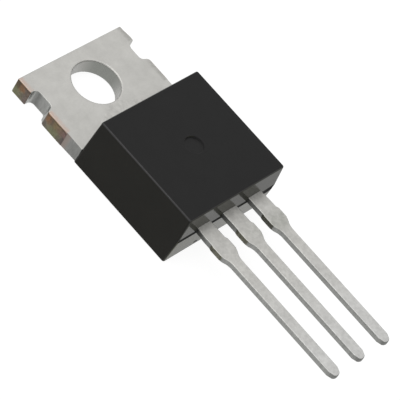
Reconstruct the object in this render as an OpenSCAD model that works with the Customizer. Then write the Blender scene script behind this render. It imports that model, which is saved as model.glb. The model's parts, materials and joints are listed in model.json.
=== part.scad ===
// Thyristor in a three-lead moulded power package with a screw-down metal tab.
// It lies on its back: the copper mounting face is the plane z = 0, the moulded front faces +Z,
// the tab points along +Y and the leads along -Y. The origin is the centre of the tab's hole
// on the mounting face. All sizes are in millimetres.

/* [Mounting tab] */
// Width of the tab across its two cut tie bars
tab_w = 9.8; // [9.5:0.1:10.2]
// Thickness of the copper tab
tab_t = 1.27; // [1.15:0.01:1.4]
// Distance from the hole's centre up to the tab's top edge
tab_above_hole = 2.78; // [2.5:0.02:3.1]
// Distance from the hole's centre down to where the moulding starts
tab_below_hole = 3.7; // [3.2:0.1:4.2]
// Diameter of the mounting hole
hole_d = 3.54; // [3.2:0.02:3.9]
// How far each side notch cuts into the tab
notch_depth = 0.57; // [0.3:0.01:0.7]
// Height of each side notch at its mouth
notch_h = 1.72; // [1.2:0.02:2]
// Height of the notches' middle above the hole's centre
notch_y = 0.6; // [0.3:0.01:0.9]
// Radius of the upper inner corner of the left notch
notch_r = 0.34; // [0.1:0.02:0.4]
// Radius of the upper inner corner of the right notch, whose punch was more worn
worn_notch_r = 0.52; // [0.3:0.02:0.56]
// How much lower the upper side of the right notch sits
worn_notch_drop = 0.06; // [0.02:0.01:0.12]
// How far the lower side of each notch climbs from its mouth to its inner wall
notch_slant = 0.22; // [0.06:0.02:0.4]
// How far the tab's sides are set in below the lower tie-bar cut
neck_inset = 0.02; // [0.02:0.02:0.2]
// Distance from the hole's centre down to where the sides are set in
neck_y = 2.25; // [1.8:0.05:2.8]

/* [Heat spreader inside the moulding] */
// Width of the copper face left bare on the back
pad_w = 8; // [7:0.1:8.4]
// Length of the bare copper face below the start of the moulding
pad_l = 5.84; // [5.4:0.02:6.2]
// How far the lock lip stands out past the bare face on three sides
lip_w = 0.3; // [0.1:0.05:0.4]
// Thickness of the lock lip, measured down from the chip side
lip_t = 0.8; // [0.5:0.05:1]
// Leg of the chamfers on the spreader's two lower corners
pad_chamfer = 0.6; // [0.2:0.1:1]

/* [Moulded body] */
// Width of the moulding at the mounting face
body_w = 10; // [9.7:0.1:10.4]
// Length of the moulding at the parting plane
body_l = 9.05; // [8.8:0.05:9.6]
// Height of the moulding's front face above the mounting face
body_t = 4.3; // [4.1:0.05:4.8]
// Draft angle of the two long sides
side_draft = 5; // [2:0.5:7]
// Draft angle of the end that the tab leaves
top_draft = 2.5; // [1:0.5:6]
// Draft angle of the lead end, in front of the parting plane
lead_end_draft = 3; // [1:0.5:5]
// Draft angle of the lead end, behind the parting plane
back_end_draft = 1.5; // [0.5:0.5:4]
// Diameter of the round ejector mark on the front face
mark_d = 1.4; // [1:0.1:2.5]
// Depth of the ejector mark
mark_depth = 0.14; // [0.04:0.02:0.2]

/* [Leads] */
// Distance from one lead to the next
lead_pitch = 2.54; // [2.4:0.02:2.7]
// Width of the long slim part of a lead
lead_w = 0.9; // [0.7:0.02:0.9]
// Thickness of the lead metal
lead_t = 0.4; // [0.36:0.02:0.5]
// Height of the leads' back face above the mounting face
lead_z = 2.24; // [2.1:0.02:2.5]
// Length of a lead from the moulding to its tip
lead_l = 13.1; // [12.5:0.05:14.5]
// Width of the broad part of a lead beside the moulding
shoulder_w = 1.36; // [1.14:0.02:1.5]
// Length of the broad part of a lead
shoulder_l = 2.65; // [2.5:0.05:3]
// Length of the steep part of the shoulder, and of the gentle part that follows it
shoulder_ramp = 0.32; // [0.2:0.02:0.4]
// How much wider than the slim part each side still is between those two
shoulder_tail = 0.06; // [0.02:0.01:0.1]
// Distance from the moulding to the dam bar that was cut away
dam_y = 1.5; // [1.3:0.05:1.6]
// Width of that dam bar
dam_w = 0.85; // [0.7:0.05:0.9]
// How far its cut stub stands out on the right of each lead
stub_right = 0.11; // [0.02:0.01:0.14]
// How far its cut stub stands out on the left of each lead
stub_left = 0.05; // [0.01:0.01:0.1]
// Length over which the lead widens to the stubs
stub_ramp = 0.2; // [0.1:0.02:0.3]
// How much narrower the outer sides of the outer leads start at the moulding
exit_relief = 0.07; // [0.02:0.01:0.12]
// Length over which that relief runs out
exit_relief_l = 0.9; // [0.5:0.1:1]
// Width of a lead's tip
tip_w = 0.5; // [0.36:0.02:0.56]
// Length of the tapered tip
tip_l = 0.5; // [0.44:0.02:0.8]
// Radius of the rounded end of the tip
tip_r = 0.42; // [0.38:0.02:0.46]

/* [Lead ends inside the moulding] */
// Width of each outer lead's bond paddle
paddle_w = 2.7; // [2.4:0.1:2.8]
// Length of each outer lead's bond paddle along the leads
paddle_l = 1.6; // [1.3:0.1:1.8]
// Moulding between a bond paddle and the lead end
paddle_cover = 0.85; // [0.7:0.05:1]
// Free gap between the middle lead and each bond paddle
paddle_gap = 0.66; // [0.4:0.02:0.8]
// Slope of the step that lifts the middle lead off the spreader
step_angle = 60; // [50:1:70]
// Flat length between the spreader and that step
step_start = 0.35; // [0.2:0.05:0.6]

/* [Chip] */
// Side of the square silicon die
die_w = 3.4; // [2.8:0.1:4]
// Thickness of the silicon die
die_t = 0.28; // [0.2:0.02:0.4]
// Thickness of the solder under the die
solder_t = 0.06; // [0.04:0.01:0.1]
// How far the solder fillet reaches past the die
solder_margin = 0.12; // [0.05:0.01:0.2]
// Distance from the spreader's lower end up to the die's lower side
die_inset = 0.95; // [0.6:0.05:1.4]

/* [Bond wires] */
// Diameter of the two cathode wires
cathode_wire_d = 0.38; // [0.25:0.01:0.4]
// Diameter of the gate wire
gate_wire_d = 0.2; // [0.12:0.01:0.25]
// Distance between the two cathode wires
wire_pitch = 1.1; // [0.9:0.05:1.2]
// Rise of each wire's arc above the straight line between its two bonds
wire_rise = 1; // [0.8:0.05:1.1]
// Distance of the cathode bonds from the die's left and lower sides
cathode_bond_inset = 0.85; // [0.7:0.05:1]
// Distance of the gate bond from the die's right and lower sides
gate_bond_inset = 0.5; // [0.4:0.05:0.6]
// Distance of the first cathode bond from the outer side of its paddle
paddle_bond_inset = 0.75; // [0.6:0.05:0.9]

/* [Hidden] */
$fn = 96;

epoxy_colour = [0.05, 0.05, 0.052];
tin_colour = [0.74, 0.73, 0.71];
solder_colour = [0.6, 0.6, 0.62];
silicon_colour = [0.3, 0.31, 0.35];
wire_colour = [0.85, 0.85, 0.87];

tab_top = tab_above_hole;
tab_side = tab_w / 2;
neck_side = tab_side - neck_inset;
mould_top = -tab_below_hole;
mould_end = mould_top - body_l;
pad_end = mould_top - pad_l;
lead_front = lead_z + lead_t;
shank_in = paddle_cover + paddle_l / 4;
chip_floor = tab_t + solder_t;
chip_top = chip_floor + die_t;
die_low = pad_end + die_inset;

// A wedge bond flattens its wire: the foot's height, width and length as multiples of the wire's diameter.
foot_height_ratio = 0.7;
foot_width_ratio = 1.3;
foot_length_ratio = 2.4;

// How far a cut runs on past the solid that it leaves.
past = tab_t;

// Where the moulding's top edge lies at a height z.
function top_edge(z) = mould_top - (z - tab_t) * tan(top_draft);

// Where the lead end lies at a height z, on both sides of the parting plane.
function end_edge(z) = z > lead_z
    ? mould_end + (z - lead_z) * tan(lead_end_draft)
    : mould_end + (lead_z - z) * tan(back_end_draft);

// Half the moulding's width at a height z.
function half_width(z) = body_w / 2 - z * tan(side_draft);

// Height of the middle of the front face along Y.
function front_middle() = (top_edge(body_t) + end_edge(body_t)) / 2;

// The moulding before anything is left out of it: a side view cut to the drafted end view.
module mould_block() {
    intersection() {
        rotate([90, 0, 90])
            linear_extrude(body_w + past, center = true)
                polygon([
                    [top_edge(0), 0],
                    [top_edge(body_t), body_t],
                    [end_edge(body_t), body_t],
                    [mould_end, lead_z],
                    [end_edge(0), 0]
                ]);
        translate([0, mould_top + past, 0])
            rotate([90, 0, 0])
                linear_extrude(body_l + 2 * past)
                    polygon([
                        [-half_width(0), 0],
                        [half_width(0), 0],
                        [half_width(body_t), body_t],
                        [-half_width(body_t), body_t]
                    ]);
    }
}

// Plan of one side notch, with its mouth on x = 0 and its body towards -X.
module notch_plan(corner_r, top) {
    arc_x = corner_r - notch_depth;
    arc_y = top - corner_r;
    polygon([
        [past, -notch_h / 2],
        [past, top],
        [arc_x, top],
        [-notch_depth, arc_y],
        [-notch_depth, notch_slant - notch_h / 2],
        [0, -notch_h / 2]
    ]);
    translate([arc_x, arc_y])
        circle(corner_r);
}

// Plan of the bare tab above the moulding, with its notches and stepped-in neck.
module tab_plan() {
    difference() {
        union() {
            translate([-tab_side, -neck_y])
                square([tab_w, neck_y + tab_top]);
            translate([-neck_side, mould_top])
                square([2 * neck_side, -mould_top]);
        }
        translate([tab_side, notch_y])
            notch_plan(worn_notch_r, notch_h / 2 - worn_notch_drop);
        mirror([1, 0])
            translate([tab_side, notch_y])
                notch_plan(notch_r, notch_h / 2);
        circle(d = hole_d);
    }
}

// Plan of the spreader inside the moulding, reaching a margin past the bare face.
module pad_plan(margin) {
    side = pad_w / 2 + margin;
    low = pad_end - margin;
    polygon([
        [-side, mould_top],
        [side, mould_top],
        [side, low + pad_chamfer],
        [side - pad_chamfer, low],
        [-side + pad_chamfer, low],
        [-side, low + pad_chamfer]
    ]);
}

// Right-hand outline of a free lead below the dam bar, down to the start of its tip.
function shoulder_side() = [
    [shoulder_w / 2, -shoulder_l],
    [lead_w / 2 + shoulder_tail, -shoulder_l - shoulder_ramp],
    [lead_w / 2, -shoulder_l - 2 * shoulder_ramp],
    [lead_w / 2, tip_l - lead_l],
    [tip_w / 2, -lead_l]
];

// Right-hand outline of the broad part, from inside the moulding down past a stub of the dam bar.
function broad_side(relief, stub) = [
    [shoulder_w / 2 - relief, shank_in],
    [shoulder_w / 2 - relief, 0],
    [shoulder_w / 2, -exit_relief_l],
    [shoulder_w / 2, stub_ramp / 2 - dam_y],
    [shoulder_w / 2 + stub, -dam_y - stub_ramp / 2],
    [shoulder_w / 2 + stub, -dam_y - dam_w]
];

// The same outline on the left, run from the tip back to the moulding.
function left_of(points) = [for (i = [len(points) - 1:-1:0]) [-points[i][0], points[i][1]]];

// Plan of a free lead, from inside the moulding to its rounded tip.
module lead_plan(relief_left, relief_right) {
    right = concat(broad_side(relief_right, stub_right), shoulder_side());
    left = concat(broad_side(relief_left, stub_left), shoulder_side());
    translate([0, mould_end])
        intersection() {
            polygon(concat(right, left_of(left)));
            union() {
                translate([-shoulder_w, tip_r - lead_l])
                    square([2 * shoulder_w, lead_l + shank_in]);
                translate([0, tip_r - lead_l])
                    circle(tip_r);
            }
        }
}

// A bond paddle: side is -1 for the left outer lead and 1 for the right one.
module paddle_plan(side) {
    inner = shoulder_w / 2 + paddle_gap;
    low = mould_end + paddle_cover;
    translate([side > 0 ? inner : -inner - paddle_w, low])
        square([paddle_w, paddle_l]);
}

// An outer lead with its paddle, at its own height.
module outer_lead(side) {
    translate([0, 0, lead_z])
        union() {
            linear_extrude(lead_t)
                translate([side * lead_pitch, 0])
                    lead_plan(side < 0 ? exit_relief : 0, side > 0 ? exit_relief : 0);
            linear_extrude(lead_t)
                paddle_plan(side);
        }
}

// Side view of the strip that leaves the spreader's chip side and steps up to the lead plane.
module step_side() {
    rise = lead_front - tab_t;
    run = rise / tan(step_angle);
    shift = lead_t * tan(step_angle / 2);
    start = pad_end - lip_w - step_start;
    polygon([
        [pad_end, tab_t - lead_t],
        [pad_end, tab_t],
        [start, tab_t],
        [start - run, lead_front],
        [mould_end, lead_front],
        [mould_end, lead_z],
        [start - run - shift, lead_z],
        [start - shift, tab_t - lead_t]
    ]);
}

// The tab, the heat spreader and the middle lead, stamped from one strip of two thicknesses.
module tab_with_anode_lead() {
    color(tin_colour) {
        linear_extrude(tab_t)
            tab_plan();
        linear_extrude(tab_t)
            pad_plan(0);
        translate([0, 0, tab_t - lip_t])
            linear_extrude(lip_t)
                pad_plan(lip_w);
        rotate([90, 0, 90])
            linear_extrude(shoulder_w, center = true)
                step_side();
        translate([0, 0, lead_z])
            linear_extrude(lead_t)
                lead_plan(0, 0);
    }
}

module cathode_lead() {
    color(tin_colour)
        outer_lead(-1);
}

module gate_lead() {
    color(tin_colour)
        outer_lead(1);
}

module die_solder() {
    side = die_w + 2 * solder_margin;
    color(solder_colour)
        translate([-side / 2, die_low - solder_margin, tab_t])
            cube([side, side, solder_t]);
}

module silicon_die() {
    color(silicon_colour)
        translate([-die_w / 2, die_low, chip_floor])
            cube([die_w, die_w, die_t]);
}

// A flattened wedge-bond foot of a wire of diameter d, at a point and pointing along heading.
module bond_foot(point, heading, d) {
    length = foot_length_ratio * d;
    width = foot_width_ratio * d;
    translate(point)
        rotate([0, 0, heading])
            linear_extrude(foot_height_ratio * d) {
                square([length - width, width], center = true);
                for (side = [-1, 1])
                    translate([side * (length - width) / 2, 0])
                        circle(width / 2);
            }
}

// A looped wire from a bond on the die to a bond on a paddle: one arc that ends in two feet.
module bond_wire(from, to, d) {
    lift = foot_height_ratio * d / 2;
    span = norm([to[0] - from[0], to[1] - from[1]]);
    climb = to[2] - from[2];
    chord = norm([span, climb]);
    tilt = atan2(climb, span);
    heading = atan2(to[1] - from[1], to[0] - from[0]);
    radius = (chord * chord / 4 + wire_rise * wire_rise) / (2 * wire_rise);
    half_angle = asin(chord / 2 / radius);
    bond_foot(from, heading, d);
    bond_foot(to, heading, d);
    translate(from + [0, 0, lift])
        rotate([0, 0, heading])
            rotate([90, 0, 0])
                rotate([0, 0, tilt])
                    translate([chord / 2, wire_rise - radius])
                        rotate([0, 0, 90 - half_angle])
                            rotate_extrude(angle = 2 * half_angle)
                                translate([radius, 0])
                                    circle(d / 2);
}

// Ends of cathode wire number i, 0 or 1.
function cathode_from(i) = [-die_w / 2 + cathode_bond_inset + i * wire_pitch,
                            die_low + cathode_bond_inset, chip_top];
function cathode_to(i) = [-shoulder_w / 2 - paddle_gap - paddle_w + paddle_bond_inset + i * wire_pitch,
                          mould_end + paddle_cover + paddle_l / 2, lead_front];

module cathode_wire(i) {
    difference() {
        bond_wire(cathode_from(i), cathode_to(i), cathode_wire_d);
        silicon_die();
        cathode_lead();
    }
}

module cathode_wire_1() {
    color(wire_colour)
        cathode_wire(0);
}

module cathode_wire_2() {
    color(wire_colour)
        cathode_wire(1);
}

module gate_wire() {
    from = [die_w / 2 - gate_bond_inset, die_low + gate_bond_inset, chip_top];
    to = [shoulder_w / 2 + paddle_gap + paddle_w / 2, mould_end + paddle_cover + paddle_l / 2, lead_front];
    color(wire_colour)
        difference() {
            bond_wire(from, to, gate_wire_d);
            silicon_die();
            gate_lead();
        }
}

// The black moulding: its outer block less every piece that it is moulded around.
module moulded_body() {
    color(epoxy_colour)
        difference() {
            mould_block();
            translate([0, front_middle(), body_t - mark_depth])
                cylinder(d = mark_d, h = mark_depth + past);
            tab_with_anode_lead();
            cathode_lead();
            gate_lead();
            die_solder();
            silicon_die();
            cathode_wire_1();
            cathode_wire_2();
            gate_wire();
        }
}

moulded_body();
tab_with_anode_lead();
cathode_lead();
gate_lead();
die_solder();
silicon_die();
cathode_wire_1();
cathode_wire_2();
gate_wire();
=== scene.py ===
# %% [markdown]
# # A thyristor in a three-lead power package
#
# The part is small: a copper tab, a black epoxy moulding and three tinned leads. The CAD frame
# already has every piece at its true size. This lesson dresses those pieces: it rounds the edges
# that the press and the mould leave round, adds the marks that they leave, and gives each surface
# its real finish. We start by loading the frame and keeping its outer box, so that at the end we
# can show that nothing has grown.

# %% Load the frame
import json
import math

import bmesh
import bpy
from mathutils import Matrix, Vector

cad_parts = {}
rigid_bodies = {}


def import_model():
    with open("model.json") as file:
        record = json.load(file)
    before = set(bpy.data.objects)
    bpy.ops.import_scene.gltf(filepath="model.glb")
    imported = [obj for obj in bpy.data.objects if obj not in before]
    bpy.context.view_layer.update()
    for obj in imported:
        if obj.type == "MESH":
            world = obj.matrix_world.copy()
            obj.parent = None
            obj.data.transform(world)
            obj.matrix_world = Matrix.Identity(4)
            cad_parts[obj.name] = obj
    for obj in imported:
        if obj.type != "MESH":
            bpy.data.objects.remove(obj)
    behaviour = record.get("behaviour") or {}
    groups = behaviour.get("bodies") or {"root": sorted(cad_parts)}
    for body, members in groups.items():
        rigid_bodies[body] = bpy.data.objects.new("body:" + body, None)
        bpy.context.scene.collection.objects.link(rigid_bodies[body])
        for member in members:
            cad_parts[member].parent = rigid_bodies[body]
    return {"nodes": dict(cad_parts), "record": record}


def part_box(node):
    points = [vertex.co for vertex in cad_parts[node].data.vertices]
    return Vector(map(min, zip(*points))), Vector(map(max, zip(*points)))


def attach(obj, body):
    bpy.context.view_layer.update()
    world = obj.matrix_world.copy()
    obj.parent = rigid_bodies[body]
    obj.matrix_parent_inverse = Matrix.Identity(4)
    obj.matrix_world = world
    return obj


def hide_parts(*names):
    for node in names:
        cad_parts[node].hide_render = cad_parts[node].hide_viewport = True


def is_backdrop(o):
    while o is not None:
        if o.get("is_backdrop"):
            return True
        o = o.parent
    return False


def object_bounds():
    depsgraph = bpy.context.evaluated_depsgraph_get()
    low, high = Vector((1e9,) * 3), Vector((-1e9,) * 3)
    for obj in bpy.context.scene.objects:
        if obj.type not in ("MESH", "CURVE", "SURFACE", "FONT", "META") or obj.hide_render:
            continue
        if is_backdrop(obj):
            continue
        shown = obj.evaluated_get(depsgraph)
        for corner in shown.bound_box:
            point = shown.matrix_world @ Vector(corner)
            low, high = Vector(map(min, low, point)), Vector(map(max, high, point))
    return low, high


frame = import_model()
cad_box = [list(corner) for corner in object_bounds()]
mm = 0.001
print("CAD box in mm:", [[round(c / mm, 3) for c in corner] for corner in cad_box])

# %% [markdown]
# The camera comes early, because it decides how much detail each side needs. A long lens from a
# fair distance keeps the package's edges almost parallel. It looks down over the left side of the
# package, and it is rolled so that the leads run down to the right. We build its three axes from
# those angles and hand them to Blender as one matrix.

# %% Place the camera
view_azimuth = math.radians(-70.06)
view_elevation = math.radians(47.06)
view_roll = math.radians(33.24)
camera_place = Vector((-122.431, -55.080, 141.021)) * mm
lens_mm = 262.76
sensor_mm = 36.0

look = Vector((-math.sin(view_azimuth) * math.cos(view_elevation),
               math.cos(view_azimuth) * math.cos(view_elevation),
               -math.sin(view_elevation)))
level_right = look.cross(Vector((0, 0, 1))).normalized()
level_up = level_right.cross(look)
right = level_right * math.cos(view_roll) + level_up * math.sin(view_roll)
up = right.cross(look)

camera_data = bpy.data.cameras.new("long_lens")
camera_data.lens = lens_mm
camera_data.sensor_width = sensor_mm
camera_data.clip_start = 0.01
camera_data.clip_end = 10
camera = bpy.data.objects.new("camera", camera_data)
axes = Matrix((right, up, -look)).transposed().to_4x4()
camera.matrix_world = Matrix.Translation(camera_place) @ axes
bpy.context.scene.collection.objects.link(camera)
bpy.context.scene.camera = camera
bpy.context.scene.view_settings.view_transform = "Standard"
print("camera looks along", [round(c, 3) for c in look])

# %% [markdown]
# ## Measuring the frame
#
# Every size below comes from the CAD nodes. A node's mesh is loose triangles, so we only read it:
# we pick the corners that lie at one height and take how far they reach. That tells us how the
# moulding tapers, where its two mould halves meet, and how thick the tab and the leads are.

# %% Measure the moulding, the tab and the leads
touching = 0.002 * mm
tip_zone = 0.25 * mm


def corners_at(node, height):
    return [v.co.copy() for v in frame["nodes"][node].data.vertices if abs(v.co.z - height) < touching]


def reach(points, axis):
    values = [p[axis] for p in points]
    return min(values), max(values)


mould_low, mould_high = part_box("moulded_body")
lead_low, lead_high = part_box("cathode_lead")
die_low, die_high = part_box("silicon_die")
solder_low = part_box("die_solder")[0]
front = mould_high.z
parting = lead_low.z
lead_front = lead_high.z
tab_front = solder_low.z
lead_tip = lead_low.y
lead_end = mould_low.y
tips = [p for p in corners_at("gate_lead", lead_front) if p.y < lead_tip + tip_zone]
lead_pitch = sum(reach(tips, 0)) / 2
slim = [p for p in corners_at("gate_lead", lead_front) if p.y < lead_end - touching]
stub = [p.y for p in slim if p.x > reach(slim, 0)[1] - touching]
stub_low, stub_high = min(stub), max(stub)
print("moulding front at", round(front / mm, 3), "parting plane at", round(parting / mm, 3))
print("lead pitch", round(lead_pitch / mm, 3))
print("dam-bar cuts between", [round(y / mm, 2) for y in (stub_low, stub_high)])

# %% [markdown]
# The tab's outline tells where its tie bars were. The corners that lie furthest out mark two lengths:
# from the neck up to the notch, and from the notch up to the top. Those lengths are bare cuts, so both
# the shaping and the finishes need them. We read them on the left, because the right notch was made
# by a worn punch and its upper side sits a little lower.

# %% Measure the tab's cut sides and its hole
hole_r = next(m["dims"]["r_mm"] for m in frame["record"]["mounts"] if m["name"] == "tab_hole") * mm
mould_start = reach(corners_at("moulded_body", tab_front), 1)[1]
tab_points = corners_at("tab_with_anode_lead", tab_front)
tab_side = reach(tab_points, 0)[1]
tab_top = reach(tab_points, 1)[1]
side_points = [p for p in tab_points if p.x < touching - tab_side]
neck_y = reach(side_points, 1)[0]
notch_low = max(p.y for p in side_points if p.y < 0)
notch_high = min(p.y for p in side_points if p.y > 0)
print("tab half width, thickness and hole radius:",
      [round(c / mm, 3) for c in (tab_side, tab_front, hole_r)])
print("cut sides run between", [round(y / mm, 2) for y in (neck_y, notch_low, notch_high, tab_top)])

# %% [markdown]
# ## Shared modelling helpers
#
# Every piece uses the same few helpers. Some pick edges by a test on their ends, one rounds them, one
# slices the mesh at a plane, and one turns a finished bmesh into an object. Real stamped and moulded
# parts have no sharp edge, and a rounded edge is what catches a thin line of light. The large flat
# faces keep flat shading, while the narrow rounded strips between them shade smoothly. Rounding can
# bring points together, so two more helpers clean up after it: one merges such points, and one fills
# a flat face again, whatever holes it has.

# %% Helpers that pick, round and finish
straight = 0.995
facing = 0.9


def edges_where(bm, test):
    return [e for e in bm.edges if all(test(v.co) for v in e.verts)]


def round_edges(bm, edges, radius, segments=3):
    return bmesh.ops.bevel(bm, geom=edges, offset=radius, offset_type="OFFSET", segments=segments,
                           profile=0.5, affect="EDGES", clamp_overlap=False, material=-1)


def sharp_edges(bm, test, angle=math.radians(25)):
    return [e for e in edges_where(bm, test) if len(e.link_faces) == 2 and e.calc_face_angle() > angle]


def upright_edges(edges, height):
    return [e for e in edges if abs(e.verts[0].co.z - e.verts[1].co.z) > height]


def cut_at(bm, place, normal, geom=None):
    everything = bm.verts[:] + bm.edges[:] + bm.faces[:]
    return bmesh.ops.bisect_plane(bm, geom=geom or everything, dist=touching / 10,
                                  plane_co=place, plane_no=normal)


def finish_piece(name, bm, slot, *nodes):
    mesh = bpy.data.meshes.new(name)
    bm.to_mesh(mesh)
    bm.free()
    mesh.shade_smooth()
    piece = bpy.data.objects.new(name, mesh)
    bpy.context.scene.collection.objects.link(piece)
    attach(piece, "root")
    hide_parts(*nodes)
    return piece


def even_shading(piece, angle=math.radians(40)):
    piece.data.set_sharp_from_angle(angle=angle)
    for face in piece.data.polygons:
        face.use_smooth = max(abs(part) for part in face.normal) < straight


def merge_slivers(bm):
    """Merge points that rounding has brought together, so that no face without area is left."""
    bmesh.ops.remove_doubles(bm, verts=bm.verts[:], dist=touching / 2)
    bmesh.ops.dissolve_degenerate(bm, edges=bm.edges[:], dist=touching / 2)


def refill(bm, flat_faces, normal):
    """Take flat faces away and fill their outline again, which also copes with holes in it."""
    bmesh.ops.delete(bm, geom=flat_faces, context="FACES_ONLY")
    bmesh.ops.delete(bm, geom=[e for e in bm.edges if e.is_wire], context="EDGES")
    rims = [e for e in bm.edges if e.is_boundary]
    bmesh.ops.triangle_fill(bm, use_beauty=True, use_dissolve=False, edges=rims, normal=normal)
    bmesh.ops.recalc_face_normals(bm, faces=bm.faces[:])
    bm.normal_update()


def merged_copy(node):
    bm = bmesh.new()
    bm.from_mesh(frame["nodes"][node].data)
    bmesh.ops.remove_doubles(bm, verts=bm.verts[:], dist=touching / 2)
    bmesh.ops.dissolve_limit(bm, angle_limit=math.radians(0.5), verts=bm.verts[:], edges=bm.edges[:])
    return bm


print("helpers ready")

# %% [markdown]
# ## Node material helpers
#
# Each finish is a small node tree around one Principled shader. All patterns read Object
# coordinates, so they stay put when the view changes. The part is a few millimetres across and
# Blender works in metres, so noise scales are given as spots per millimetre and turned into
# Blender's scale in one place.

# %% Helpers that build materials
per_mm = 1 / mm


class Finish:
    """A material with a Principled shader and short calls for the nodes that feed it."""

    def __init__(self, name, roughness=0.5, metallic=0.0, specular=0.5):
        self.material = bpy.data.materials.new(name)
        self.material.use_nodes = True
        self.tree = self.material.node_tree
        self.shader = self.tree.nodes["Principled BSDF"]
        self.shader.inputs["Roughness"].default_value = roughness
        self.shader.inputs["Metallic"].default_value = metallic
        self.shader.inputs["Specular IOR Level"].default_value = specular
        self.place = self.node("ShaderNodeTexCoord").outputs["Object"]

    def node(self, kind, **settings):
        made = self.tree.nodes.new(kind)
        for key, value in settings.items():
            setattr(made, key, value)
        return made

    def link(self, source, target):
        self.tree.links.new(source, target)

    def stretch(self, x, y, z):
        mapping = self.node("ShaderNodeMapping")
        mapping.inputs["Scale"].default_value = (x, y, z)
        self.link(self.place, mapping.inputs["Vector"])
        return mapping.outputs["Vector"]

    def spots(self, spots_per_mm, detail=3.0, rough=0.55, along=None):
        noise = self.node("ShaderNodeTexNoise")
        noise.inputs["Scale"].default_value = spots_per_mm * per_mm
        noise.inputs["Detail"].default_value = detail
        noise.inputs["Roughness"].default_value = rough
        self.link(along or self.place, noise.inputs["Vector"])
        return noise.outputs["Fac"]

    def ramp(self, source, stops):
        made = self.node("ShaderNodeValToRGB")
        elements = made.color_ramp.elements
        while len(elements) < len(stops):
            elements.new(0.5)
        for element, (position, colour) in zip(elements, stops):
            element.position = position
            element.color = (*colour, 1)
        self.link(source, made.inputs["Fac"])
        return made.outputs["Color"]

    def span(self, source, low, high, to_low=0.0, to_high=1.0):
        made = self.node("ShaderNodeMapRange")
        made.inputs["From Min"].default_value = low
        made.inputs["From Max"].default_value = high
        made.inputs["To Min"].default_value = to_low
        made.inputs["To Max"].default_value = to_high
        self.link(source, made.inputs["Value"])
        return made.outputs["Result"]

    def axis(self, name):
        made = self.node("ShaderNodeSeparateXYZ")
        self.link(self.place, made.inputs["Vector"])
        return made.outputs[name]

    def maths(self, operation, first, second):
        made = self.node("ShaderNodeMath", operation=operation)
        for socket, value in zip(made.inputs, (first, second)):
            if isinstance(value, (int, float)):
                socket.default_value = value
            else:
                self.link(value, socket)
        return made.outputs["Value"]

    def blend(self, amount, first, second, kind="MIX"):
        made = self.node("ShaderNodeMix", data_type="RGBA", blend_type=kind)
        if isinstance(amount, float):
            made.inputs["Factor"].default_value = amount
        else:
            self.link(amount, made.inputs["Factor"])
        for socket, value in zip((made.inputs["A"], made.inputs["B"]), (first, second)):
            if isinstance(value, tuple):
                socket.default_value = (*value, 1)
            else:
                self.link(value, socket)
        return made.outputs["Result"]

    def apart(self, source, middle=0.0):
        """How far a value lies from the middle, either way."""
        return self.maths("ABSOLUTE", self.maths("SUBTRACT", source, middle), 0)

    def mottle(self, colour, pattern, dark, light, low=0.3, high=0.7):
        """The colour, made darker and lighter where a pattern is low and high."""
        shade = self.ramp(pattern, [(low, (dark,) * 3), (high, (light,) * 3)])
        return self.blend(1.0, colour, shade, kind="MULTIPLY")

    def feed(self, socket, source):
        self.link(source, self.shader.inputs[socket])

    def bumps(self, height, depth, before=None):
        made = self.node("ShaderNodeBump")
        made.inputs["Strength"].default_value = 1.0
        made.inputs["Distance"].default_value = depth
        self.link(height, made.inputs["Height"])
        if before:
            self.link(before, made.inputs["Normal"])
        return made.outputs["Normal"]


print("material helpers ready")

# %% [markdown]
# ## Finishes of the metal
#
# The lead frame is copper strip. It is punched, moulded, tin plated, and only then cut free. The broad
# faces carry matte tin, which handling has mottled on the leads. The punched edges are plated too, but
# their torn surface is duller, and its tone changes along the strip. Part of that tone is painted light
# and shade: the lead edges darken where they meet the moulding, the tab's notches are lighter on their
# lower sides and darker in their upper corners, and the hole's wall is lighter towards its two ends. The
# tie bars at the tab's sides and the dam bars between the leads are cut last, so there the copper is
# bare: rosy where the cut starts, smeared and olive below it. Each of these is a finish of its own, and
# a piece's faces are told later which one they wear.

# %% Matte tin on the broad faces, and on the punched edges
pale_from, pale_full = 9 * mm, 2 * mm
rub_reach = 0.2 * mm


def tin_colour(tin, dark=(0.45, 0.444, 0.423), light=(0.512, 0.506, 0.483)):
    clouds = tin.spots(0.9, detail=4)
    grain = tin.spots(7, detail=3)
    pattern = tin.maths("ADD", tin.maths("MULTIPLY", clouds, 0.75), tin.maths("MULTIPLY", grain, 0.25))
    return tin.ramp(pattern, [(0.35, dark), (0.65, light)])


def tin_surface(tin):
    tin.feed("Roughness", tin.span(tin.spots(2.5), 0.3, 0.7, 0.42, 0.5))
    tin.feed("Normal", tin.bumps(tin.spots(28, detail=2), 0.0016 * mm))


def matte_tin():
    """Paler towards the lead tips, and rubbed darker beside the dam bars, most of all on the right."""
    tin = Finish("matte_tin", metallic=1.0)
    towards_tip = tin.span(tin.axis("Y"), lead_tip + pale_from, lead_tip + pale_full)
    pale = tin_colour(tin, (0.49, 0.488, 0.475), (0.55, 0.548, 0.535))
    plain = tin.blend(towards_tip, tin_colour(tin), pale)
    near_dam = tin.span(tin.apart(tin.axis("Y"), stub_low), mm, rub_reach)
    patches = tin.span(tin.spots(2.5, detail=4), 0.35, 0.6, 0.3, 1.0)
    on_right = tin.span(tin.axis("X"), -mm, 2 * mm)
    rubbed = tin.maths("MULTIPLY", tin.maths("MULTIPLY", near_dam, on_right), patches)
    worn = tin.blend(rubbed, plain, (0.37, 0.372, 0.345))
    handled = tin.spots(3.5, detail=3, rough=0.6)
    tin.feed("Base Color", tin.mottle(worn, handled, 0.93, 1.06, low=0.35, high=0.65))
    tin_surface(tin)
    return tin.material


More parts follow.
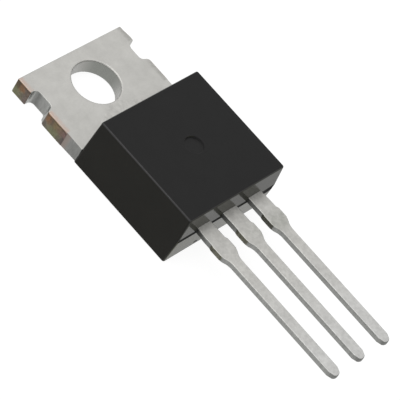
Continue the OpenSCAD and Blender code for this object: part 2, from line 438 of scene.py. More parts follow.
def tone_along(finish, stops):
    """Grey tones between stops of (Y, tone), with fine streaks across the strip's thickness."""
    first, last = stops[0][0], stops[-1][0]
    run = finish.span(finish.axis("Y"), first, last)
    greys = [((y - first) / (last - first), (grey, grey * 1.01, grey * 0.97)) for y, grey in stops]
    streaks = finish.spots(5, detail=5, rough=0.7, along=finish.stretch(1, 1, 0.25))
    finish.feed("Roughness", finish.span(streaks, 0.3, 0.7, 0.32, 0.46))
    finish.feed("Normal", finish.bumps(streaks, 0.004 * mm))
    return finish.mottle(finish.ramp(run, greys), streaks, 0.8, 1.2)


def lead_edge():
    edge = Finish("plated_lead_edge", metallic=1.0)
    at_tip = [(lead_tip, 0.15), (lead_tip + 0.2 * mm, 0.18), (lead_tip + 0.6 * mm, 0.27)]
    slim_part = [(lead_tip + 4 * mm, 0.275), (stub_low - 0.3 * mm, 0.255)]
    # The edge darkens where it meets the moulding: painted shade and a painted reflection of the black
    # moulding.
    broad_part = [(stub_low, 0.18), (stub_high + 0.1 * mm, 0.185),
                  (lead_end - 0.6 * mm, 0.17), (lead_end, 0.1)]
    edge.feed("Base Color", tone_along(edge, at_tip + slim_part + broad_part))
    return edge.material


def tab_edge():
    """Rosy below the neck's cut, and lighter on the right side. Painted light and shade: lighter on the
    notch's lower side, which faces up to the light, and darker in its upper corner, which faces down.
    """
    edge = Finish("plated_tab_edge", metallic=1.0)
    neck = [(mould_start, 0.2), (neck_y - 0.6 * mm, 0.205), (neck_y - 0.2 * mm, 0.25)]
    # Painted light and shade: the notch's lower side, which faces up to the light, is lighter, and its
    # upper corner, which faces down, is darker.
    low_side = [(notch_low - 0.05 * mm, 0.38), (notch_low + 0.2 * mm, 0.35)]
    inner_side = [(notch_low + 0.5 * mm, 0.26), (notch_high - 0.8 * mm, 0.25),
                  (notch_high - 0.6 * mm, 0.22)]
    high_side = [(notch_high - 0.3 * mm, 0.165), (notch_high - 0.12 * mm, 0.22), (notch_high, 0.45)]
    plain = tone_along(edge, neck + low_side + inner_side + high_side + [(tab_top, 0.3)])
    up_to_cut = edge.span(edge.axis("Y"), neck_y - 0.5 * mm, neck_y - 0.2 * mm)
    dragged = edge.maths("MULTIPLY", up_to_cut, edge.span(edge.axis("Y"), notch_low - 0.1 * mm, neck_y))
    rosy = edge.blend(dragged, plain, (0.24, 0.205, 0.185))
    on_right = edge.span(edge.axis("X"), 0, mm)
    edge.feed("Base Color", edge.blend(on_right, rosy, (0.42, 0.42, 0.4)))
    return edge.material


def punched_bore():
    bore = Finish("punched_bore", metallic=1.0)
    streaks = bore.spots(3, detail=2, along=bore.stretch(1, 1, 0.1))
    tone = bore.ramp(streaks, [(0.3, (0.222, 0.228, 0.212)), (0.7, (0.238, 0.244, 0.227))])
    # Painted reflection: the wall is lighter towards both ends along Y, where it mirrors the white floor
    # at a low angle.
    low_side = bore.span(bore.axis("Y"), -0.2 * hole_r, -0.75 * hole_r)
    high_side = bore.span(bore.axis("Y"), 0.75 * hole_r, hole_r)
    bright = bore.maths("MAXIMUM", low_side, high_side)
    bore.feed("Base Color", bore.blend(bright, tone, (0.32, 0.318, 0.3)))
    bore.feed("Roughness", bore.span(streaks, 0.3, 0.7, 0.26, 0.32))
    return bore.material


print("tin finishes ready")

# %% [markdown]
# Where a tie bar was cut off, the blade drags the tin thin and rosy copper shows along the edge of the
# front. The cut face below it wanders between orange, olive and purple, because the fresh copper has
# tarnished unevenly. Two ramps along the tab hold those colours, one for the upper half of the cut and
# one for the lower half. Height on the tab mixes them, and stretched noise breaks the border up.

# %% Bare copper where the bars were cut
smear_w = 0.44 * mm
smear_fade = 0.1 * mm
cut_lip = 0.05 * mm


def cut_lengths(finish, fade):
    """1 on the lengths of the tab's sides where a tie bar was, and 0 on the neck and the notches."""
    y = finish.axis("Y")
    over_notch = finish.span(y, notch_high, notch_high + fade)
    over_neck = finish.span(y, neck_y, neck_y + fade)
    under_notch = finish.span(y, notch_low, notch_low - fade)
    return finish.maths("MAXIMUM", over_notch, finish.maths("MINIMUM", over_neck, under_notch))


def tab_tin():
    tin = Finish("tab_tin", metallic=1.0)
    plain = tin_colour(tin)
    to_side = tin.span(tin.apart(tin.axis("X")), tab_side - smear_w, tab_side - smear_w / 2)
    patches = tin.span(tin.spots(5, detail=4), 0.3, 0.6, 0.35, 1.0)
    smear = tin.maths("MULTIPLY", tin.maths("MULTIPLY", to_side, patches), cut_lengths(tin, smear_fade))
    right_side = tin.span(tin.axis("X"), -mm, mm)
    tint = tin.blend(right_side, (0.50, 0.40, 0.35), (0.36, 0.355, 0.335))
    tin.feed("Base Color", tin.blend(smear, plain, tint))
    tin_surface(tin)
    return tin.material


def bare_copper():
    """Purple, brown and orange in the upper half of the cut, and mostly olive in the lower half."""
    cut = Finish("bare_copper_cut", metallic=0.75)
    purple, orange = (0.165, 0.105, 0.095), (0.22, 0.118, 0.06)
    brown, olive = (0.12, 0.09, 0.065), (0.165, 0.165, 0.095)
    wander = cut.span(cut.spots(2), 0.3, 0.7, -0.025, 0.025)
    along = cut.maths("ADD", cut.span(cut.axis("Y"), neck_y, tab_top), wander)
    upper = cut.ramp(along, [(0.02, purple), (0.2, (0.18, 0.138, 0.07)), (0.27, brown),
                             (0.33, orange), (0.4, brown), (0.82, (0.13, 0.1, 0.08)),
                             (0.87, orange), (0.93, (0.1, 0.075, 0.045))])
    lower = cut.ramp(along, [(0.0, (0.11, 0.09, 0.085)), (0.15, olive), (0.25, olive),
                             (0.36, (0.14, 0.12, 0.10)), (0.78, (0.15, 0.12, 0.105)), (0.92, olive)])
    tears = cut.spots(2.2, detail=5, rough=0.6, along=cut.stretch(1, 1, 0.6))
    ragged = cut.span(tears, 0.25, 0.75, -0.14, 0.14)
    depth = cut.maths("ADD", cut.span(cut.axis("Z"), tab_front, 0), ragged)
    face = cut.blend(cut.span(depth, 0.38, 0.62), upper, lower)
    under_lip = cut.apart(cut.span(depth, 0.03, 0.17), 0.5)
    burnt = cut.blend(cut.span(under_lip, 0.5, 0.1, 0.0, 0.65), face, (0.07, 0.05, 0.035))
    speckled = cut.mottle(burnt, cut.spots(6, detail=5, rough=0.65), 0.72, 1.25)
    at_lip = cut.span(cut.axis("Z"), tab_front - cut_lip, tab_front)
    cut.feed("Base Color", cut.blend(at_lip, speckled, (0.45, 0.33, 0.25)))
    cut.feed("Roughness", cut.span(tears, 0.3, 0.7, 0.4, 0.62))
    cut.feed("Normal", cut.bumps(cut.spots(9, detail=5, along=cut.stretch(1, 1, 0.25)), 0.012 * mm))
    return cut.material


def dam_bar_cut():
    cut = Finish("dam_bar_cut", metallic=0.7)
    tears = cut.spots(5, detail=4, along=cut.stretch(1, 1, 0.4))
    torn = cut.ramp(tears, [(0.3, (0.06, 0.06, 0.043)), (0.7, (0.19, 0.185, 0.145))])
    on_right_lead = cut.span(cut.axis("X"), mm, 1.5 * mm, 0.0, 0.7)
    cut.feed("Base Color", cut.blend(on_right_lead, torn, (0.055, 0.055, 0.045)))
    cut.feed("Roughness", cut.span(tears, 0.3, 0.7, 0.45, 0.65))
    cut.feed("Normal", cut.bumps(tears, 0.01 * mm))
    return cut.material


TIN, LEAD_EDGE, DAM, TAB_TIN, TAB_EDGE, BORE, COPPER = range(7)
metal_finishes = [matte_tin(), lead_edge(), dam_bar_cut(), tab_tin(), tab_edge(), punched_bore(),
                  bare_copper()]
print("metal finishes:", [m.name for m in metal_finishes])

# %% [markdown]
# ## The leads
#
# A lead is punched from flat strip 0.4 mm thick. It is broad beside the moulding, swells a little
# where the dam bar was cut off, then narrows to a slim pin with a rounded tip. The CAD node holds
# that outline with sharp edges. We take a merged copy of it, round the upright corners of the
# outline, and round the long edges: more on the front, where the punch pressed in, and less on the
# back. Then a few cuts across the tip let its front fall away in a gentle curve.

# %% Shape one lead
lead_face_r = 0.08 * mm
lead_back_r = 0.025 * mm
waist_r = 0.1 * mm
stub_r = 0.02 * mm
tip_fall = 0.06 * mm
tip_fall_l = 0.5 * mm
tip_steps = 4
stub_fade = 0.16 * mm
rounding_starts = lead_end + 0.3 * mm
lead_reach = 1.6 * mm
lead_zone_end = lead_end + 3 * mm
corner_angle = math.radians(6)
sideways = 0.5
waist_low, waist_high = stub_low - 1.2 * mm, stub_low - 0.2 * mm
stubs_high = stub_high + 0.4 * mm


def around(bm, test):
    """All of the mesh whose faces lie wholly where the test passes."""
    faces = [f for f in bm.faces if all(test(v.co) for v in f.verts)]
    return [*{v for f in faces for v in f.verts}, *{e for f in faces for e in f.edges}, *faces]


def shape_lead(bm, middle):
    def on_lead(p):
        return abs(p.x - middle) < lead_reach and p.y < lead_end + mm and p.z > parting - touching

    def free(p):
        return on_lead(p) and p.y < rounding_starts + touching

    def cross_cut(y):
        whole_lead = around(bm, lambda p: abs(p.x - middle) < lead_reach and p.y < lead_zone_end)
        cut_at(bm, (0, y, 0), (0, 1, 0), whole_lead)

    cut_low, cut_high = stub_low - stub_fade, stub_high + stub_fade
    for y in (rounding_starts, cut_high, cut_low):
        cross_cut(y)
    upright = upright_edges(sharp_edges(bm, free, corner_angle), mm / 10)
    waist = [e for e in upright if waist_low < e.verts[0].co.y < waist_high]
    stubs = [e for e in upright if waist_high < e.verts[0].co.y < stubs_high]
    round_edges(bm, waist, waist_r, segments=4)
    round_edges(bm, stubs, stub_r)
    half_way = (parting + lead_front) / 2
    rims = sharp_edges(bm, free)
    round_edges(bm, [e for e in rims if min(v.co.z for v in e.verts) > half_way], lead_face_r)
    backs = [e for e in rims if e.is_valid and max(v.co.z for v in e.verts) < half_way]
    round_edges(bm, backs, lead_back_r, segments=2)
    for share in range(1, tip_steps + 1):
        cross_cut(lead_tip + tip_fall_l * share / tip_steps)
    for v in bm.verts:
        into_tip = (lead_tip + tip_fall_l - v.co.y) / tip_fall_l
        if free(v.co) and into_tip > 0 and v.co.z > half_way:
            v.co.z -= tip_fall * into_tip ** 2
    merge_slivers(bm)
    bm.normal_update()
    for face in bm.faces:
        centre = face.calc_center_median()
        if on_lead(centre):
            cut = cut_low < centre.y < cut_high and abs(face.normal.x) > sideways
            face.material_index = TIN if abs(face.normal.z) > facing else DAM if cut else LEAD_EDGE


def add_metal(piece):
    for finish in metal_finishes:
        piece.data.materials.append(finish)
    even_shading(piece)


def outer_lead(node, name):
    bm = merged_copy(node)
    middle = math.copysign(lead_pitch, sum(c.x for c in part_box(node)))
    shape_lead(bm, middle)
    piece = finish_piece(name, bm, "tinned_copper", node)
    add_metal(piece)
    print(name, "has", len(piece.data.polygons), "faces, its middle at", round(middle / mm, 3))
    return piece


left_lead = outer_lead("cathode_lead", "left_lead_cathode")
right_lead = outer_lead("gate_lead", "right_lead_gate")

# %% [markdown]
# ## The tab, the heat spreader and the middle lead
#
# These three are one piece of copper: the strip is thick where the tab and the spreader are, and
# thin where the leads are. The press leaves a rolled edge on the side it enters, here the front, and
# a small sharp burr on the back. So the front rims of the tab, of its hole and of its two notches
# get the larger radius. The blade that cut the tie bars left marks too: above the right notch it
# dragged the front outwards, and below the left one the metal tore off a little high. Then each narrow
# face is told which finish it has: the sides above and below a notch are bare cuts, and everything
# else is plated.

# %% Shape the tab
tab_front_r = 0.07 * mm
tab_back_r = 0.03 * mm
tab_corner_r = 0.09 * mm
notch_corner_r = 0.22 * mm
notch_tear = 0.16 * mm
smear_reach = 0.08 * mm
smear_stops = [(0, 0.6), (0.3 * mm, 1), (1 * mm, 0)]
tear_height = 3
near_notch = 0.3 * mm
outline_angle = math.radians(10)
cut_facing = 0.25
roll_facing = 0.2
hole_front_r = 0.12 * mm
burr = 0.04 * mm


def on_tab(p):
    return p.y > mould_start - touching and p.z < tab_front + touching


def at_side(p):
    return abs(p.x) > tab_side - tab_corner_r


def is_cut(p):
    return at_side(p) and (neck_y - touching < p.y < notch_low or p.y > notch_high)


def at_hole(p):
    return p.xy.length < hole_r + hole_front_r + touching


def smear_right_cut(bm):
    """Drag the front of the right cut outwards. Each stop is (height over the notch, share of it)."""
    upper_end = around(bm, lambda p: on_tab(p) and p.y > -hole_r)
    for up_from_notch, _ in smear_stops[1:]:
        cut_at(bm, (0, notch_high + up_from_notch, 0), (0, 1, 0), upper_end)
        upper_end = around(bm, lambda p: on_tab(p) and p.y > -hole_r)
    for v in bm.verts:
        at_front_edge = v.co.x > tab_side - touching and v.co.z > tab_front - touching
        if at_front_edge and hole_r / 2 < v.co.y < tab_top - touching:
            height = max(0, v.co.y - notch_high)
            share = min((abs(height - stop), share) for stop, share in smear_stops)[1]
            v.co.x += smear_reach * share


def tear_left_notch(bm):
    """Lift the back of the left notch's lower side. The lift fades towards the mouth and higher up."""
    for v in bm.verts:
        into_notch, above = tab_side + v.co.x, (v.co.y - notch_low) / notch_corner_r
        if -touching < into_notch < mm and -1 < above < tear_height:
            share = min(1, into_notch / notch_corner_r) * min(1, (tear_height - above) / 2)
            v.co.y += notch_tear * share * (1 - v.co.z / tab_front)


def tab_piece():
    bm = merged_copy("tab_with_anode_lead")
    shape_lead(bm, 0)
    smear_right_cut(bm)
    upright = [e for e in upright_edges(sharp_edges(bm, on_tab, outline_angle), tab_front / 2)
               if e.verts[0].co.y > neck_y + touching]
    low_corners = [e for e in upright if abs(e.verts[0].co.y - notch_low) < near_notch
                   and e.verts[0].co.xy.length > 2 * hole_r]
    round_edges(bm, low_corners, notch_corner_r, segments=6)
    tear_left_notch(bm)
    other_corners = [e for e in upright if e.is_valid and e not in low_corners]
    round_edges(bm, other_corners, tab_corner_r, segments=4)
    rims = [e for e in sharp_edges(bm, on_tab) if max(v.co.y for v in e.verts) > mould_start + touching]
    fronts = [e for e in rims if min(v.co.z for v in e.verts) > tab_front - touching]
    hole_rim = [e for e in fronts if at_hole(e.verts[0].co)]
    round_edges(bm, [e for e in fronts if e not in hole_rim], tab_front_r, segments=4)
    round_edges(bm, hole_rim, hole_front_r, segments=6)
    backs = [e for e in rims if e.is_valid and max(v.co.z for v in e.verts) < touching
             and not all(at_side(v.co) for v in e.verts)]
    round_edges(bm, backs, tab_back_r, segments=2)
    for v in bm.verts:
        if is_cut(v.co) and v.co.z < tab_front - touching:
            v.co.x += math.copysign(burr * (1 - v.co.z / tab_front), v.co.x)
    merge_slivers(bm)
    for z, outwards in ((tab_front, 1), (0, -1)):
        flat = [f for f in bm.faces if all(abs(v.co.z - z) < touching for v in f.verts)]
        refill(bm, flat, (0, 0, outwards))
    for face in bm.faces:
        centre = face.calc_center_median()
        if on_tab(centre):
            if face.normal.z > facing or face.normal.z > roll_facing and at_hole(centre):
                face.material_index = TAB_TIN
            elif is_cut(centre) and abs(face.normal.x) > cut_facing:
                face.material_index = COPPER
            elif at_hole(centre):
                face.material_index = BORE
            else:
                face.material_index = TAB_EDGE if abs(face.normal.z) < facing else TIN
    piece = finish_piece("tab_with_middle_lead", bm, "tinned_copper", "tab_with_anode_lead")
    add_metal(piece)
    print(piece.name, "has", len(piece.data.polygons), "faces")
    return piece


tab = tab_piece()

# %% [markdown]
# ## Finishes of the epoxy
#
# The moulding compound is black epoxy full of ground silica. The mould's cavity is eroded to a fine
# matte texture, so the front and the sides are satin; the sides get a copy with less shine, which is
# painted shade. The lead end is drawn along steel that stays smoother, and at a low angle it mirrors the
# leads. Its two halves are painted far lighter than the black compound, as a painted reflection of the
# white floor, and their shine changes towards the left as painted sheen. The front's rounded rim shines
# a little, the seam is torn and rough, and the ejector pin leaves a rough wall and a coarser face. These
# are all one compound, so one helper makes them, and they differ in roughness, shine, grain and shade.

# %% Eight finishes of one compound
def epoxy(name, roughness, specular, texture_depth, shade, grain=22, left=1.0):
    """Black epoxy in the given shade. Its shine can change towards the left side of the moulding, as a
    painted sheen.
    """
    compound = Finish(name, specular=specular)
    if left != 1:
        shine = compound.span(compound.axis("X"), -mould_high.x, 0, specular * left, specular)
        compound.feed("Specular IOR Level", shine)
    lighter = tuple(part * 1.22 for part in shade)
    clouds, patches = compound.spots(0.7, detail=5), compound.spots(3)
    compound.feed("Base Color", compound.ramp(clouds, [(0.3, shade), (0.7, lighter)]))
    compound.feed("Roughness", compound.span(patches, 0.3, 0.7, roughness - 0.03, roughness + 0.03))
    compound.feed("Normal", compound.bumps(compound.spots(grain, detail=3), texture_depth))
    return compound.material


SATIN, SIDE, RIM, END_FRONT, END_BACK, SEAM, PIN_WALL, PIN_FACE = range(8)
black, torn_black = (0.006, 0.006, 0.006), (0.018, 0.018, 0.018)
polish, eroded = 0.0005 * mm, 0.0025 * mm
epoxy_finishes = [epoxy("satin_epoxy", 0.45, 0.19, eroded, black),
                  # The sides get a copy of the satin epoxy with less shine, which is painted shade.
                  epoxy("epoxy_side_painted_shade", 0.45, 0.12, eroded, (0.008, 0.0076, 0.0056)),
                  epoxy("rounded_epoxy_rim", 0.3, 0.45, 2 * polish, (0.008, 0.008, 0.008)),
                  # The lead end's two halves are painted far lighter than the black compound, a painted
                  # reflection of the white floor that they mirror at a low angle; the upper half shines
                  # more towards the left and the lower half less, as painted sheen.
                  epoxy("smooth_epoxy_front_half_painted_reflection", 0.14, 0.065, polish, (0.034, 0.034, 0.026), left=1.8),
                  epoxy("smooth_epoxy_back_half_painted_reflection", 0.18, 0.18, polish, (0.034, 0.034, 0.01), left=0.6),
                  epoxy("torn_epoxy_seam", 0.8, 0.1, 0.004 * mm, torn_black),
                  epoxy("ejector_pin_wall", 0.6, 0.15, 0.003 * mm, torn_black),
                  epoxy("ejector_pin_face", 0.42, 0.2, 0.012 * mm, black, grain=4)]
print("epoxy finishes:", [m.name for m in epoxy_finishes])

# %% [markdown]
# ## The moulding
#
# The moulding starts as a cube, sliced at the height where the two mould halves meet. Each corner
# then moves to where the draft angles put it, as measured from the frame. The upright corners, the
# front rim and the back rim are rounded in that order, each with its own radius. The lead end's right
# corner is worn: it is crisp at the parting plane and well rounded at the back. A fine groove marks
# the parting line on that end. Right of the right lead the compound tore when the mould opened, so
# there the groove opens and sags.

# %% Block out the moulding
corner_r = 0.15 * mm
front_rim_r = 0.1 * mm
back_rim_r = 0.05 * mm
seam_drop = 0.25 * mm
seam_rise = 0.16 * mm
groove_depth = 0.1 * mm
tear_start = lead_pitch + mm
tear_steps = 6
tear_sag = 0.3 * mm
tear_lift = (-0.12 * mm, 0.06 * mm)
worn_corner_r = 0.5 * mm
crisp_corner_r = 0.05 * mm
front_points = corners_at("moulded_body", front)
back_points = corners_at("moulded_body", 0)
front_half = reach(front_points, 0)[1]
front_end, front_top = reach(front_points, 1)
back_end, back_top = reach(back_points, 1)
mould_middle = (front_end + front_top) / 2
print("the moulding's front runs from", round(front_end / mm, 3), "to", round(front_top / mm, 3))


def drafted(corner):
    share = corner.z / front
    half = mould_high.x + (front_half - mould_high.x) * share
    top = back_top + (front_top - back_top) * share
    ahead = max(0, corner.z - parting) / (front - parting)
    behind = max(0, parting - corner.z) / parting
    end = lead_end + (front_end - lead_end) * ahead + (back_end - lead_end) * behind
    return Vector((math.copysign(half, corner.x), top if corner.y > 0 else end, corner.z))


def in_seam(p):
    return -seam_drop - touching < p.z - parting < seam_rise + touching and p.y < mould_middle


def tear_seam(bm):
    """Let the seam sag and open to the right of the right lead."""
    tear_length = mould_high.x - corner_r - tear_start
    for step in range(-1, tear_steps):
        cut_at(bm, (tear_start + tear_length * step / tear_steps, 0, 0), (1, 0, 0), around(bm, in_seam))
    for v in bm.verts:
        along = min(1, (v.co.x - tear_start) / tear_length)
        if in_seam(v.co) and along > -touching:
            height = (v.co.z - parting + seam_drop) / (seam_drop + seam_rise)
            lower = -tear_sag * math.sin(math.pi * along)
            upper = tear_lift[0] + (tear_lift[1] - tear_lift[0]) * along
            v.co.z += lower + (upper - lower) * height


def wear_corner(bm):
    """Draw the lead end's right corner out crisp at the parting plane, and round its back far more."""
    radii = {0: worn_corner_r, round(parting / mm, 3): crisp_corner_r}
    for v in bm.verts:
        corner = drafted(Vector((mould_high.x, -1, v.co.z)))
        radius = radii.get(round(v.co.z / mm, 3))
        if radius and max(abs(part) for part in corner - v.co) < corner_r + touching:
            v.co = corner.lerp(v.co, radius / corner_r)


def mould_block():
    bm = bmesh.new()
    bmesh.ops.create_cube(bm, size=1)
    for v in bm.verts:
        v.co.z = front if v.co.z > 0 else 0
    cut_at(bm, (0, 0, parting), (0, 0, 1))
    for v in bm.verts:
        v.co = drafted(v.co)
    round_edges(bm, upright_edges(bm.edges, mm), corner_r, segments=6)
    wear_corner(bm)
    round_edges(bm, edges_where(bm, lambda p: p.z > front - touching), front_rim_r, segments=4)
    round_edges(bm, edges_where(bm, lambda p: p.z < touching), back_rim_r, segments=2)
    for z in (parting - seam_drop, parting + seam_rise):
        cut_at(bm, (0, 0, z), (0, 0, 1))
    for face in bm.faces:
        if face.normal.y < -facing and all(in_seam(v.co) for v in face.verts):
            face.material_index = SEAM
    tear_seam(bm)
    for v in bm.verts:
        if all(f.material_index == SEAM for f in v.link_faces):
            v.co.y += groove_depth
    return bm


# %% [markdown]
# The ejector pin leaves a shallow round mark in the middle of the front. We draw half of its section
# as a few points and spin that once round the middle. The pin's end isn't quite square, so the floor
# is tilted afterwards. The front face is taken away first, and the gap between its rim and the mark's
# rim is filled at the end.

# %% Sink the ejector mark and finish the moulding
mark_lip = 0.03 * mm
mark_tilt = 0.07 * mm
mark_steps = 64
deepest_mark = 0.25 * mm
end_facing = 0.7
rim_facing = (0.1, 0.98)
mark_ring = [p for p in front_points
             if abs(p.x) < front_half / 2 and front_end + mm < p.y < front_top - mm]
mark_r = reach(mark_ring, 0)[1]
mark_y = sum(reach(mark_ring, 1)) / 2
mark_middle = Vector((0, mark_y))
mark_floor = min(v.co.z for v in frame["nodes"]["moulded_body"].data.vertices
                 if v.co.z > front - deepest_mark and (v.co.xy - mark_middle).length < mark_r + touching)
print("ejector mark: radius", round(mark_r / mm, 3), "depth", round((front - mark_floor) / mm, 3))


def in_mark(p):
    return (p.xy - mark_middle).length < mark_r + mark_lip and p.z > parting


def sink_mark(bm):
    front_face = max(bm.faces, key=lambda f: f.normal.z * f.calc_area())
    bmesh.ops.delete(bm, geom=[front_face], context="FACES_ONLY")
    section = [(mark_r + mark_lip, front), (mark_r + mark_lip / 3, front - mark_lip / 3),
               (mark_r, front - mark_lip), (mark_r, mark_floor + mark_lip),
               (mark_r - mark_lip, mark_floor), (0, mark_floor)]
    verts = [bm.verts.new((r, mark_y, z)) for r, z in section]
    edges = [bm.edges.new(pair) for pair in zip(verts, verts[1:])]
    bmesh.ops.spin(bm, geom=verts + edges, cent=(0, mark_y, 0), axis=(0, 0, 1), dvec=(0, 0, 0),
                   angle=math.tau, steps=mark_steps, use_merge=True, use_duplicate=False)
    bmesh.ops.remove_doubles(bm, verts=bm.verts[:], dist=touching / 4)
    for v in bm.verts:
        if in_mark(v.co) and v.co.z < front - mark_lip - touching:
            v.co.z += mark_tilt * (mark_y + mark_r - v.co.y) / (2 * mark_r)
    refill(bm, [], (0, 0, 1))


def epoxy_index(face):
    centre = face.calc_center_median()
    if face.material_index == SEAM:
        return SEAM
    if face.normal.y < -end_facing:
        return END_FRONT if centre.z > parting else END_BACK
    if in_mark(centre) and centre.z < front - touching:
        return PIN_WALL if abs(face.normal.z) < facing else PIN_FACE
    if centre.z > front - front_rim_r and rim_facing[0] < face.normal.z < rim_facing[1]:
        return RIM
    return SIDE if abs(face.normal.x) > facing else SATIN


def moulding_piece():
    bm = mould_block()
    sink_mark(bm)
    for face in bm.faces:
        face.material_index = epoxy_index(face)
    piece = finish_piece("epoxy_moulding", bm, "moulding", "moulded_body")
    for finish in epoxy_finishes:
        piece.data.materials.append(finish)
    return piece


moulding = moulding_piece()

# %% [markdown]
# The moulding isn't a solid brick: the epoxy flowed round the spreader, the leads, the chip and its
# wires. One Boolean modifier takes all of those out of it at once, so that its pockets fit the pieces
# that we dressed above. It works on closed meshes, so the wires and the chip go in as merged copies.
# Where two faces lie at one height a film can stay between them, so the tab's cutter reaches past the
# back, and the chip and its wires sink a hair into what carries them. The last cutter is a small
# blister that broke open on the lead end.

# %% Leave room for what is moulded in
cutter_reach = 0.5 * mm
seat_overlap = 0.01 * mm
inner_nodes = ["die_solder", "silicon_die", "cathode_wire_1", "cathode_wire_2", "gate_wire"]
pit_place = Vector((-2.06 * mm, back_end - 0.01 * mm, 0.35 * mm))
pit_size = (0.21 * mm, 0.14 * mm, 0.11 * mm)


def pit():
    """A small blister that broke open on the moulding's lead end, just in front of the back."""
    bm = bmesh.new()
    bmesh.ops.create_icosphere(bm, subdivisions=2, radius=1)
    bmesh.ops.scale(bm, vec=pit_size, verts=bm.verts[:])
    bmesh.ops.translate(bm, vec=pit_place, verts=bm.verts[:])
    return bm


def cutter_mesh(source):
    """A copy for cutting. Its back, where it lies on the floor, reaches down past the moulding's."""
    bm = bmesh.new()
    bm.from_mesh(source.data)
    for v in bm.verts:
        v.co.z -= cutter_reach if v.co.z < touching else 0
    return bm


def seated_copy(node):
    """A copy that sinks a hair into what carries it, so that no film of epoxy stays between them."""
    bm = merged_copy(node)
    wire_seats = [die_high.z, lead_front]
    seats = {"die_solder": [solder_low.z], "silicon_die": [die_low.z]}.get(node, wire_seats)
    for v in bm.verts:
        v.co.z -= seat_overlap if any(abs(v.co.z - seat) < touching for seat in seats) else 0
    return bm


def make_pockets(piece):
    cutters = bpy.data.collections.new("pockets")
    bpy.context.scene.collection.children.link(cutters)
    shapes = [(source.name, cutter_mesh(source)) for source in (tab, left_lead, right_lead)]
    shapes += [(node, seated_copy(node)) for node in inner_nodes] + [("pit", pit())]
    for name, bm in shapes:
        for face in bm.faces:
            face.material_index = SEAM if name == "pit" else SATIN
        mesh = bpy.data.meshes.new("pocket_" + name)
        bm.to_mesh(mesh)
        bm.free()
        for finish in epoxy_finishes:
            mesh.materials.append(finish)
        cutters.objects.link(bpy.data.objects.new("pocket_" + name, mesh))
    pockets = piece.modifiers.new("pockets", "BOOLEAN")
    pockets.operation = "DIFFERENCE"
    pockets.solver = "EXACT"
    pockets.operand_type = "COLLECTION"
    pockets.collection = cutters
    carved = bpy.data.meshes.new_from_object(piece.evaluated_get(bpy.context.evaluated_depsgraph_get()))
    piece.modifiers.clear()
    piece.data = carved
    for cutter in list(cutters.objects):
        bpy.data.objects.remove(cutter)
    bpy.data.collections.remove(cutters)
    print(piece.name, "has", len(carved.polygons), "faces and", [m.name for m in carved.materials])


make_pockets(moulding)
even_shading(moulding)

# %% [markdown]
# ## The chip inside
#
# The chip, its solder and its three wires stay as the frame has them, and get their real finishes:
# a silicon chip with an aluminium pad on its front, dull grey solder, and bright drawn aluminium wire.
# The pad is so thin that it is no piece of its own: it is painted by place, near the chip's front and
# away from its rim.

# %% Finish the hidden pieces
pad_gap = 0.35 * mm
pad_border = 0.03 * mm
pad_thick = 0.01 * mm


def silicon():
    chip = Finish("silicon_chip", roughness=0.25, specular=0.6)
    clouds = chip.spots(1.5)
    bare = chip.ramp(clouds, [(0.3, (0.085, 0.09, 0.11)), (0.7, (0.11, 0.115, 0.135))])
    lid = chip.span(chip.axis("Z"), die_high.z - 2 * pad_thick, die_high.z - pad_thick)
    from_middle = chip.apart(chip.axis("Y"), (die_low.y + die_high.y) / 2)
    spread = chip.maths("MAXIMUM", chip.apart(chip.axis("X")), from_middle)
    inside = chip.span(spread, die_high.x - pad_gap, die_high.x - pad_gap - pad_border)
    metal = chip.maths("MULTIPLY", lid, inside)
    chip.feed("Base Color", chip.blend(metal, bare, (0.72, 0.72, 0.73)))
    chip.feed("Metallic", metal)
    return chip.material


def soft_metal(name, dark, light, roughness, scale, depth):
    metal = Finish(name, metallic=1.0)
    tone = metal.spots(scale, detail=4)
    metal.feed("Base Color", metal.ramp(tone, [(0.3, dark), (0.7, light)]))
    metal.feed("Roughness", metal.span(tone, 0.3, 0.7, roughness - 0.05, roughness + 0.08))
    metal.feed("Normal", metal.bumps(tone, depth))
    return metal.material


chip_finish = silicon()
solder_finish = soft_metal("dull_solder", (0.36, 0.36, 0.37), (0.46, 0.46, 0.47), 0.5, 4, 0.01 * mm)
wire_finish = soft_metal("drawn_aluminium", (0.78, 0.78, 0.8), (0.86, 0.86, 0.87), 0.28, 12, 0.002 * mm)
for node in inner_nodes:
    finish = {"silicon_die": chip_finish, "die_solder": solder_finish}.get(node, wire_finish)
    frame["nodes"][node].data.materials[0] = finish
    print(node, "wears", finish.name)

# %% [markdown]
# ## Floor and light
#
# The part lies on a plain white sheet. Rays from the camera, mirror rays and rays through glass see
# it as white paper that still takes a faint shadow. Soft rays see an ordinary pale floor, so that it
# lights the part no more than such a floor would. The sheet lies a hair below the part, because two
# faces at one height flicker. One large softbox hangs above the tab end and a smaller one at the left,
# and the room, which is split by rays in the same way, adds an even light.

# %% Lay the floor
floor_half = 0.6
floor_gap = 0.01 * mm
floor_tone, shadow_tone = 0.8, 0.2
paper_glow = 0.9


def seen_directly(tree):
    path = tree.nodes.new("ShaderNodeLightPath")
    first = tree.nodes.new("ShaderNodeMath")
    first.operation = "MAXIMUM"
    second = tree.nodes.new("ShaderNodeMath")
    second.operation = "MAXIMUM"
    tree.links.new(path.outputs["Is Camera Ray"], first.inputs[0])
    tree.links.new(path.outputs["Is Glossy Ray"], first.inputs[1])
    tree.links.new(first.outputs["Value"], second.inputs[0])
    tree.links.new(path.outputs["Is Transmission Ray"], second.inputs[1])
    return second.outputs["Value"]


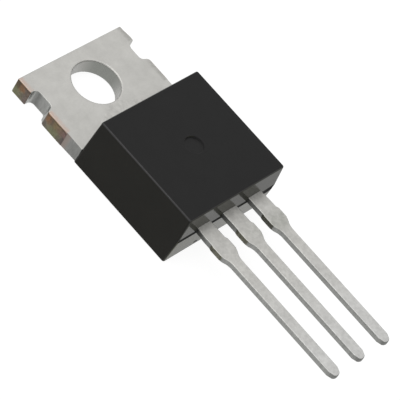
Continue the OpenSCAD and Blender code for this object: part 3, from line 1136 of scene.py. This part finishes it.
def paper():
    material = bpy.data.materials.new("white_paper")
    material.use_nodes = True
    tree = material.node_tree
    tree.nodes.remove(tree.nodes["Principled BSDF"])
    pale = tree.nodes.new("ShaderNodeBsdfDiffuse")
    pale.inputs["Color"].default_value = (floor_tone, floor_tone, floor_tone, 1)
    shaded = tree.nodes.new("ShaderNodeBsdfDiffuse")
    shaded.inputs["Color"].default_value = (shadow_tone, shadow_tone, shadow_tone, 1)
    glow = tree.nodes.new("ShaderNodeEmission")
    glow.inputs["Strength"].default_value = paper_glow
    white = tree.nodes.new("ShaderNodeAddShader")
    tree.links.new(shaded.outputs["BSDF"], white.inputs[0])
    tree.links.new(glow.outputs["Emission"], white.inputs[1])
    mix = tree.nodes.new("ShaderNodeMixShader")
    tree.links.new(seen_directly(tree), mix.inputs["Fac"])
    tree.links.new(pale.outputs["BSDF"], mix.inputs[1])
    tree.links.new(white.outputs["Shader"], mix.inputs[2])
    tree.links.new(mix.outputs["Shader"], tree.nodes["Material Output"].inputs["Surface"])
    return material


floor_mesh = bpy.data.meshes.new("paper_floor")
bm = bmesh.new()
bmesh.ops.create_grid(bm, x_segments=8, y_segments=8, size=floor_half,
                      matrix=Matrix.Translation((0, 0, -floor_gap)))
bm.to_mesh(floor_mesh)
bm.free()
floor = bpy.data.objects.new("paper_floor", floor_mesh)
floor.data.materials.append(paper())
bpy.context.scene.collection.objects.link(floor)
floor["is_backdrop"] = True
print("a sheet", round(2 * floor_half, 2), "m wide lies", round(floor_gap / mm, 3), "mm below the part")

# %% Light the part
room_strength, seen_strength = 0.6, 1.0

world = bpy.data.worlds.new("studio")
bpy.context.scene.world = world
world.use_nodes = True
tree = world.node_tree
room = tree.nodes["Background"]
room.inputs["Color"].default_value = (1, 1, 1, 1)
room.inputs["Strength"].default_value = room_strength
white = tree.nodes.new("ShaderNodeBackground")
white.inputs["Color"].default_value = (1, 1, 1, 1)
white.inputs["Strength"].default_value = seen_strength
mix = tree.nodes.new("ShaderNodeMixShader")
tree.links.new(seen_directly(tree), mix.inputs["Fac"])
tree.links.new(room.outputs["Background"], mix.inputs[1])
tree.links.new(white.outputs["Background"], mix.inputs[2])
tree.links.new(mix.outputs["Shader"], tree.nodes["World Output"].inputs["Surface"])


def softbox(name, place, aim, size, power):
    lamp = bpy.data.lights.new(name, "AREA")
    lamp.size = size
    lamp.energy = power
    holder = bpy.data.objects.new(name, lamp)
    holder.location = place
    holder.rotation_euler = (Vector(aim) - Vector(place)).to_track_quat("-Z", "Y").to_euler()
    bpy.context.scene.collection.objects.link(holder)
    return holder


middle_of_part = (0, (lead_tip + tab_top) / 2, 0)
softbox("overhead_softbox", (-0.03, 0.12, 0.33), middle_of_part, size=0.3, power=0.3)
softbox("rim_softbox", (-0.258, 0.072, 0.225), middle_of_part, size=0.1, power=0.1)
print("world and two softboxes ready")

# %% [markdown]
# ## Comparing with the CAD box
#
# The last cell compares the dressed part with the CAD box.

# %% Compare the boxes
dressed_box = [list(corner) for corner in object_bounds()]
grown_low = max(cad - dressed for cad, dressed in zip(cad_box[0], dressed_box[0]))
grown_high = max(dressed - cad for cad, dressed in zip(cad_box[1], dressed_box[1]))
grown = max(grown_low, grown_high)
print("the dressed part stands proud of the CAD box by", round(grown / mm, 5), "mm")
